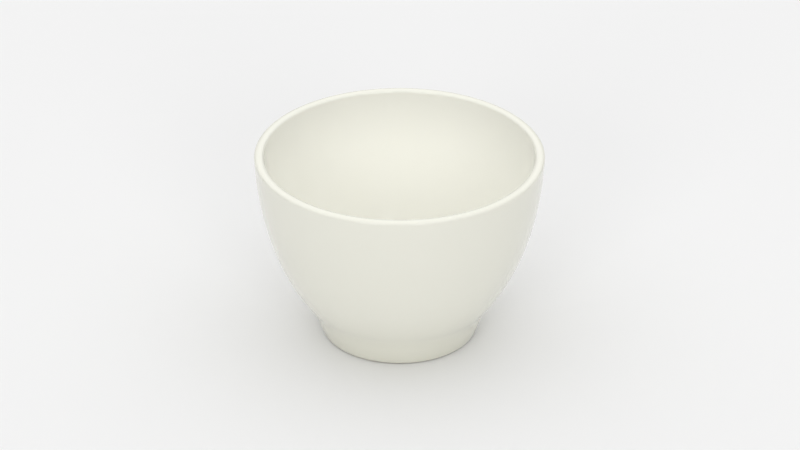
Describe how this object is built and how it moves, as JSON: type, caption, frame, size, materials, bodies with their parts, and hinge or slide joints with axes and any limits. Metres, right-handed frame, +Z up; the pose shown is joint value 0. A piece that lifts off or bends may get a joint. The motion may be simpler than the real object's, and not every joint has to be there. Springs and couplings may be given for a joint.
{
  "type": "latte bowl",
  "caption": "Round handleless latte bowl of glazed clay: deep wall leaning in to a soft waist, softly flattened lip, low tapered foot with a bare standing ring.",
  "frame": {"origin": "on the bowl's axis, in the plane of the standing ring, where it meets the table", "axes": "+Z up along the bowl's axis, out of its mouth; X and Y lie in the table plane, and all directions in it are alike"},
  "size_m": [0.12, 0.12, 0.082],
  "materials": {
    "clay": "matte",
    "glaze": "gloss"
  },
  "bodies": {
    "root": {"clay_body": "clay", "glaze_coat": "glaze", "base_glaze": "glaze"}
  },
  "joints": []
}
